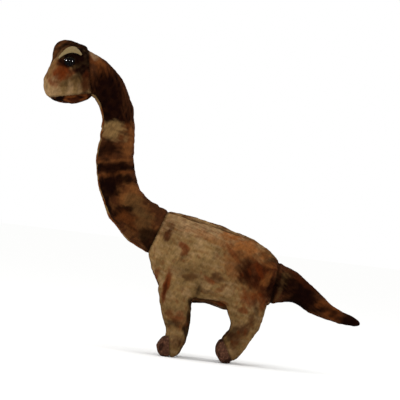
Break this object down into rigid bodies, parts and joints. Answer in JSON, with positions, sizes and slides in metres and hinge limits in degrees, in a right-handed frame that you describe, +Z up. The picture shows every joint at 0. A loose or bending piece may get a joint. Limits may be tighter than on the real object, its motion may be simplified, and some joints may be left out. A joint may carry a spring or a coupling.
{
  "type": "stuffed dinosaur",
  "caption": "Soft stuffed long-necked dinosaur standing on short legs, sewn from printed plush panels over fibre filling, with domed eyes and felt eyelids.",
  "frame": {"origin": "on the floor, under the middle of the toy's bounding box", "axes": "+X from head to tail, +Y towards the toy's right side, +Z up"},
  "size_m": [0.3768, 0.0728, 0.332],
  "materials": {
    "printed_plush": "matte",
    "crown_plush": "matte",
    "cap_plush": "matte",
    "felt": "matte",
    "fibre": "matte",
    "eye_plastic": "gloss",
    "washer_plastic": "satin"
  },
  "bodies": {
    "torso": {"body_side_left": "printed_plush", "body_side_right": "printed_plush", "back_gusset": "printed_plush", "belly_gusset": "printed_plush", "trunk_filling": "fibre"},
    "neck": {"neck_side_left": "printed_plush", "neck_side_right": "printed_plush", "throat_gusset": "printed_plush", "neck_filling": "fibre"},
    "head": {"cheek_left": "printed_plush", "cheek_right": "printed_plush", "crown_gusset": "crown_plush", "jaw_panel": "printed_plush", "head_filling": "fibre", "eyelid_left": "felt", "eyelid_right": "felt", "eye_left": "eye_plastic", "eye_right": "eye_plastic", "eye_washer_left": "washer_plastic", "eye_washer_right": "washer_plastic"},
    "tail": {"tail_side_left": "printed_plush", "tail_side_right": "printed_plush", "tail_filling": "fibre"},
    "leg_front_left": {"leg_outer_front_left": "printed_plush", "leg_inner_front_left": "printed_plush", "foot_cap_front_left": "cap_plush", "leg_filling_front_left": "fibre"},
    "leg_front_right": {"leg_outer_front_right": "printed_plush", "leg_inner_front_right": "printed_plush", "foot_cap_front_right": "cap_plush", "leg_filling_front_right": "fibre"},
    "leg_rear_left": {"leg_outer_rear_left": "printed_plush", "leg_inner_rear_left": "printed_plush", "foot_cap_rear_left": "cap_plush", "leg_filling_rear_left": "fibre"},
    "leg_rear_right": {"leg_outer_rear_right": "printed_plush", "leg_inner_rear_right": "printed_plush", "foot_cap_rear_right": "cap_plush", "leg_filling_rear_right": "fibre"}
  },
  "joints": [
    {"name": "neck_bend", "type": "hinge", "parent": "torso", "child": "neck", "pos_m": [-0.0513, 0, 0.1362], "axis": [0, 1, 0], "range_deg": [-15, 15], "stiffness_Nm_per_rad": 1.5, "springref_deg": 1.11},
    {"name": "head_nod", "type": "hinge", "parent": "neck", "child": "head", "pos_m": [-0.1314, 0, 0.2996], "axis": [0, 1, 0], "range_deg": [-9, 15], "stiffness_Nm_per_rad": 0.4, "springref_deg": 0.49},
    {"name": "tail_wag", "type": "hinge", "parent": "torso", "child": "tail", "pos_m": [0.105, 0, 0.0925], "axis": [0, 0, 1], "range_deg": [-25, 25], "stiffness_Nm_per_rad": 0.3},
    {"name": "leg_front_left_swing", "type": "hinge", "parent": "torso", "child": "leg_front_left", "pos_m": [-0.0155, -0.02, 0.061], "axis": [0, 1, 0], "range_deg": [-15, 15], "stiffness_Nm_per_rad": 1},
    {"name": "leg_front_right_swing", "type": "hinge", "parent": "torso", "child": "leg_front_right", "pos_m": [-0.0155, 0.02, 0.061], "axis": [0, 1, 0], "range_deg": [-15, 15], "stiffness_Nm_per_rad": 1},
    {"name": "leg_rear_left_swing", "type": "hinge", "parent": "torso", "child": "leg_rear_left", "pos_m": [0.063, -0.02, 0.052], "axis": [0, 1, 0], "range_deg": [-15, 15], "stiffness_Nm_per_rad": 1},
    {"name": "leg_rear_right_swing", "type": "hinge", "parent": "torso", "child": "leg_rear_right", "pos_m": [0.063, 0.02, 0.052], "axis": [0, 1, 0], "range_deg": [-15, 15], "stiffness_Nm_per_rad": 1}
  ]
}
